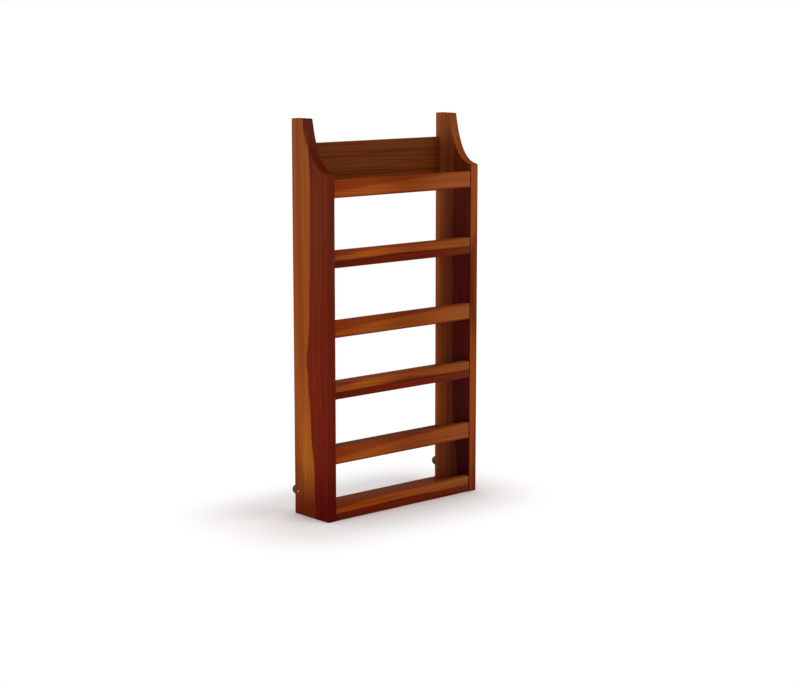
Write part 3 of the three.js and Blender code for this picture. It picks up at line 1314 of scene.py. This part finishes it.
@dataclass
class WallStops:
    """A turned knob behind the foot of each side board, held by a spigot and a cross pin.

    Attributes:
        collar: Thickness of the knob's straight collar.
        collar_ease: Radius of the collar's eased edge.
        spigot_radius: Radius of the spigot.
        crown: How far the end of a pin stands out of the board.
        tip: Radius of the small flat at the middle of a rounded end.
        seed: First seed of their woods.
        pieces: The knobs and pins, by the names of their nodes.
    """

    collar: float = 5.0 * MILLIMETRE
    collar_ease: float = 0.8 * MILLIMETRE
    spigot_radius: float = 7.0 * MILLIMETRE
    crown: float = 0.3 * MILLIMETRE
    tip: float = 0.3 * MILLIMETRE
    seed: int = 50
    pieces: dict[str, bpy.types.Object] = field(default_factory=dict)

    KNOB_FACETS = 64
    PIN_FACETS = 32
    CURVE_STEPS = 12

    def build(self) -> None:
        """Makes the knobs, drilled for their pins, and the pins."""
        for hand in Hand:
            self.pieces[f"{hand.word}_wall_stop"] = self.knob(hand)
            self.pieces[f"{hand.word}_wall_stop_pin"] = self.pin(hand)
            carve(self.pieces[f"{hand.word}_wall_stop"], [self.pin_bore(hand)])

    def pin_bore(self, hand: Hand) -> bpy.types.Object:
        """A cutter for the hole of a pin, open at the outer face of the board."""
        return bore(*node_box(f"{hand.word}_wall_stop_pin"), axis=0)

    def bores(self, hand: Hand) -> list[bpy.types.Object]:
        """Cutters for the holes in a side board: one for the spigot, open at its back, and one for the pin.

        Args:
            hand: Which board.

        Returns:
            The two cutters.
        """
        low, high = node_box(f"{hand.word}_wall_stop")
        middle = (low + high) / 2
        start, end = middle - self.spigot_radius, middle + self.spigot_radius
        start[1], end[1] = low[1], self.seat(hand)
        return [bore(start, end, axis=1), self.pin_bore(hand)]

    def seat(self, hand: Hand) -> float:
        """The y of a knob's flat back, a glue line behind the side board."""
        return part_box(f"{hand.word}_side")[1].y + GLUE_LINE

    def knob(self, hand: Hand) -> bpy.types.Object:
        """Turns a knob round y: spigot, collar with an eased edge, and a dome.

        Args:
            hand: Which side it stands on.

        Returns:
            The new object.
        """
        low, high = node_box(f"{hand.word}_wall_stop")
        seat = self.seat(hand)
        radius = (high[2] - low[2]) / 2
        along, drawn_in, _ = EasedEdge(self.collar_ease, self.CURVE_STEPS).profile()
        spigot = ((low[1], self.spigot_radius), (seat, self.spigot_radius))
        collar = np.stack((seat + along, radius - drawn_in), axis=1)
        dome = self.rounded_end(seat + self.collar, high[1], radius)
        centre = ((low[2] + high[2]) / 2, (low[0] + high[0]) / 2)
        profile = np.concatenate((spigot, collar, dome))
        return turned(f"{hand.word}_knob", profile, centre, 1, self.KNOB_FACETS)

    def pin(self, hand: Hand) -> bpy.types.Object:
        """Turns a pin round x, with a shallow crown on its outer end.

        Args:
            hand: Which side it stands on.

        Returns:
            The new object.
        """
        low, high = node_box(f"{hand.word}_wall_stop_pin")
        radius = (high[2] - low[2]) / 2
        inner, outer = sorted((abs(low[0]), abs(high[0])))
        profile = np.concatenate((((inner, radius),), self.rounded_end(outer, outer + self.crown, radius)))
        if hand is Hand.LEFT:
            profile = profile[::-1] * (-1.0, 1.0)
        centre = (low[1:] + high[1:]) / 2
        return turned(f"{hand.word}_pin", profile, centre, 0, self.PIN_FACETS)

    def rounded_end(self, start: float, end: float, radius: float) -> Array:
        """Profile of a rounded end: a quarter of an ellipse, as far as the small flat at its tip.

        Args:
            start: Where it starts along the axis.
            end: Where the ellipse ends.
            radius: Its radius at the start.

        Returns:
            Places along the axis and radii, shape (stations, 2).
        """
        turn = np.linspace(0.0, math.acos(self.tip / radius), self.CURVE_STEPS + 1)
        return np.stack((start + (end - start) * np.sin(turn), radius * np.cos(turn)), axis=1)

    def dress(self) -> None:
        """Dark brown wood for the knobs, pale wood for the pins."""
        figure = Figure(ring=0.004, pith=(0.3, 0.02))
        for number, (node, piece) in enumerate(self.pieces.items()):
            if node.endswith("pin"):
                slot, tone, grain = Slot.DOWEL, PIN_WOOD, Grain.CROSSWISE
            else:
                slot, tone, grain = Slot.SIDE, KNOB_WOOD, Grain.TURNED
            settle(piece, slot, LacqueredWood(tone, figure, grain, self.seed + number), node)


@dataclass
class Dowels:
    """The fluted dowels inside the joints.

    Attributes:
        chamfer: Size of the chamfer round each end.
        flutes: Number of flutes round a dowel.
        flute_depth: Depth of a flute.
        seed: Seed of their wood.
        pieces: The dowels, by the names of their nodes.
    """

    chamfer: float = 1.0 * MILLIMETRE
    flutes: int = 16
    flute_depth: float = 0.3 * MILLIMETRE
    seed: int = 60
    pieces: dict[str, bpy.types.Object] = field(default_factory=dict)

    FLUTE_POINTS = 6

    def build(self) -> None:
        """Makes a dowel for each of their nodes."""
        for node in DOWEL_NODES:
            self.pieces[node] = self.dowel(node)

    def dowel(self, node: str) -> bpy.types.Object:
        """Makes a dowel along x.

        Round the dowel, the radius dips into each flute as a cosine. Along it, the radius shrinks over the
        chamfers as fast as the length runs out.

        Args:
            node: The node that gives its box.

        Returns:
            The new object.
        """
        low, high = node_box(node)
        radius = (high - low)[1:].max() / 2
        stations = np.array((low[0], low[0] + self.chamfer, high[0] - self.chamfer, high[0]))
        chamfers = self.chamfer * np.array((1.0, 0.0, 0.0, 1.0))
        dip = np.tile((1.0 - circle(self.FLUTE_POINTS)[:, 0]) / 2, self.flutes)
        reach = radius - chamfers[:, None] - self.flute_depth * dip
        loops = (low + high)[1:] / 2 + reach[..., None] * circle(dip.size)
        return stacked(node.replace("_dowel", "_fluted_dowel"), stations, loops, np.zeros(reach.shape))

    def dress(self) -> None:
        """Plain pale wood on every dowel, from one finish."""
        figure = Figure(ring=0.003)
        wood = LacqueredWood(DOWEL_WOOD, figure, Grain.CROSSWISE, self.seed, roughness=0.6, coat=0.0)
        for node, piece in self.pieces.items():
            settle(piece, Slot.DOWEL, wood, node, shared="dowel")


def stand(
    data: Union[bpy.types.Light, bpy.types.Camera],
    aim: Sequence[float],
    azimuth: float,
    elevation: float,
    distance: float,
) -> bpy.types.Object:
    """Stands a lamp or a camera in the scene, so that it faces its aim.

    Args:
        data: The lamp or camera.
        aim: The point that it faces.
        azimuth: Where it stands, from the front towards +X, in degrees.
        elevation: Its height above the horizon, in degrees.
        distance: Its distance from the aim.

    Returns:
        The new object.
    """
    turn, rise = math.radians(azimuth), math.radians(elevation)
    away = Vector((math.sin(turn) * math.cos(rise), -math.cos(turn) * math.cos(rise), math.sin(rise)))
    thing = bpy.data.objects.new(data.name, data)
    thing.location = Vector(aim) + away * distance
    thing.rotation_euler = (-away).to_track_quat("-Z", "Y").to_euler()
    bpy.context.scene.collection.objects.link(thing)
    return thing


@dataclass(frozen=True)
class SoftBox:
    """A large rectangular lamp that faces the rack.

    Attributes:
        name: Name of the lamp.
        azimuth: Where it stands, from the front towards +X, in degrees.
        elevation: Its height above the horizon, in degrees.
        distance: Its distance from the point that it faces.
        width: Its width.
        height: Its height.
        level: How bright it makes a white surface that faces it.
    """

    name: str
    azimuth: float
    elevation: float
    distance: float
    width: float
    height: float
    level: float

    def place(self, aim: Sequence[float]) -> None:
        """Puts the lamp in the scene; its power is the level times the square of pi times the distance.

        Args:
            aim: The point that it faces.
        """
        lamp = bpy.data.lights.new(self.name, "AREA")
        lamp.shape = "RECTANGLE"
        lamp.size = self.width
        lamp.size_y = self.height
        lamp.energy = self.level * (math.pi * self.distance) ** 2
        stand(lamp, aim, self.azimuth, self.elevation, self.distance)


@dataclass
class Studio:
    """A white floor, an even white sky, soft lamps and the camera.

    Attributes:
        sky: Strength of the sky's light on the rack and the floor.
        lamps: The lamps.
        floor_colour: Colour of the floor near the rack, a warm grey that is a painted shadow halo round the
            foot with painted warm bounce light in it, before the fade to white.
        floor_radius: Radius of the floor.
        fade: Distances from the foot of the rack between which the seen floor turns from its painted shadow
            halo into plain white.
        fade_shift: How far to the left the fade lies, so that the painted shadow halo lies to the left, as
            the shadow does.
        azimuth: Where the camera stands, from the front towards +X, in degrees.
        elevation: Its height above the horizon, in degrees.
        distance: Its distance from the aim.
        aim: The point in the middle of the picture.
        lens: Focal length, in millimetres.
        sensor: Width of the sensor, in millimetres.
    """

    sky: float = 0.54
    lamps: tuple[SoftBox, ...] = (
        SoftBox("front_lamp", azimuth=20.0, elevation=34.0, distance=4.0, width=2.6, height=2.2, level=0.36),
        SoftBox("left_lamp", azimuth=-92.0, elevation=10.0, distance=3.6, width=0.8, height=2.0, level=0.36),
        SoftBox("top_lamp", azimuth=150.0, elevation=80.0, distance=3.0, width=2.4, height=2.4, level=0.40),
    )
    floor_colour: Colour = (0.86, 0.825, 0.81, 1.0)
    floor_radius: float = 6.0
    fade: tuple[float, float] = (0.02, 0.27)
    fade_shift: float = 0.06
    azimuth: float = -41.43
    elevation: float = 9.68
    distance: float = 4.692
    aim: tuple[float, float, float] = (0.04238, -0.010, 0.40645)
    lens: float = 82.853
    sensor: float = 36.0

    FLOOR_POINTS = 96
    WHITE = (1.0, 1.0, 1.0, 1.0)

    @staticmethod
    def seen(bench: Bench) -> Shade:
        """Tells what is seen from what only gives light.

        Args:
            bench: The node tree.

        Returns:
            1 for rays from the camera, also by way of a gloss or a glass, and 0 for light.
        """
        path = bench.add("ShaderNodeLightPath", output="Is Camera Ray")
        bounced = bench.math("MAXIMUM", path.output("Is Glossy Ray"), path.output("Is Transmission Ray"))
        return bench.math("MAXIMUM", path, bounced)

    def lay_floor(self) -> None:
        """A disc that keeps the shadows near the rack on a warm grey, a painted shadow halo that fades to
        plain white further out, and can be looked through from below.
        """
        rim = np.zeros((self.FLOOR_POINTS, 3))
        rim[:, :2] = self.floor_radius * circle(self.FLOOR_POINTS)
        mesh = bpy.data.meshes.new("floor")
        mesh.from_pydata(rim.tolist(), [], [list(range(self.FLOOR_POINTS))])
        floor = bpy.data.objects.new("floor", mesh)
        bpy.context.scene.collection.objects.link(floor)
        paint = bpy.data.materials.new("floor_paint")
        bench = Bench(paint)
        part = bench.axes(bench.add("ShaderNodeTexCoord", output="Object"))
        low, high = CAD_BOX
        beside = bench.math("MAXIMUM", abs(part["X"] + self.fade_shift) - high.x, 0.0)
        before = bench.math("MAXIMUM", bench.math("MAXIMUM", low.y - part["Y"], part["Y"] - high.y), 0.0)
        away = bench.math("SQRT", beside * beside + before * before)
        # Near the rack the floor keeps its warm grey, a painted shadow halo round the real shadows; further
        # out it turns plain white.
        plain = bench.smooth(away, *self.fade) * self.seen(bench)
        matt = bench.add("ShaderNodeBsdfDiffuse", inputs={"Color": self.floor_colour})
        white = bench.add("ShaderNodeEmission", inputs={"Color": self.WHITE})
        above = bench.add("ShaderNodeMixShader", inputs={0: plain, 1: matt, 2: white})
        below = bench.add("ShaderNodeBsdfTransparent")
        under = bench.add("ShaderNodeNewGeometry", output="Backfacing")
        surface = bench.add("ShaderNodeMixShader", inputs={0: under, 1: above, 2: below})
        bench.add("ShaderNodeOutputMaterial", inputs={"Surface": surface})
        mesh.materials.append(paint)

    def light(self) -> None:
        """An even sky, which is plain white where it is seen, and the lamps."""
        world = bpy.data.worlds.new("sky")
        bench = Bench(world)
        lit = bench.add("ShaderNodeBackground", inputs={"Color": self.WHITE, "Strength": self.sky})
        white = bench.add("ShaderNodeBackground", inputs={"Color": self.WHITE, "Strength": 1.0})
        surface = bench.add("ShaderNodeMixShader", inputs={0: self.seen(bench), 1: lit, 2: white})
        bench.add("ShaderNodeOutputWorld", inputs={"Surface": surface})
        bpy.context.scene.world = world
        bpy.context.scene.view_settings.view_transform = "Standard"
        for lamp in self.lamps:
            lamp.place(self.aim)

    def place_camera(self) -> None:
        """The camera, on its arc round the aim."""
        camera = bpy.data.cameras.new("camera")
        camera.lens = self.lens
        camera.sensor_width = self.sensor
        bpy.context.scene.camera = stand(camera, self.aim, self.azimuth, self.elevation, self.distance)


def main() -> None:
    """Builds and finishes the sub-assemblies in order."""
    logging.basicConfig(level=logging.INFO, format="%(name)s: %(message)s")
    studio = Studio()
    studio.lay_floor()
    studio.light()
    studio.place_camera()
    # The bottom lip's tints are darker than the other lips', a painted shade near the floor, and bluer
    # towards the right end, a painted sheen.
    bottom_lip_stain_and_light = (
        (0.80, 0.65, 0.4), (0.82, 0.74, 0.5), (0.84, 0.87, 1.1), (0.82, 0.93, 1.4), (0.70, 0.94, 2.2)
    )
    pockets = (
        Pocket(
            Level.BOTTOM, seed=10, lip_tints=bottom_lip_stain_and_light, shelf_line=(0.089, 0.082, 0.086, 0.077, 0.084)
        ),
        Pocket(Level.MIDDLE, seed=20, shelf_line=(0.083, 0.077, 0.088, 0.083, 0.076)),
        Pocket(Level.TOP, seed=30),
    )
    stops = WallStops()
    for assembly in (SideBoards(stops), *pockets, BackBoards(), stops, Dowels()):
        assembly.build()
        assembly.dress()


if __name__ == "__main__":
    main()
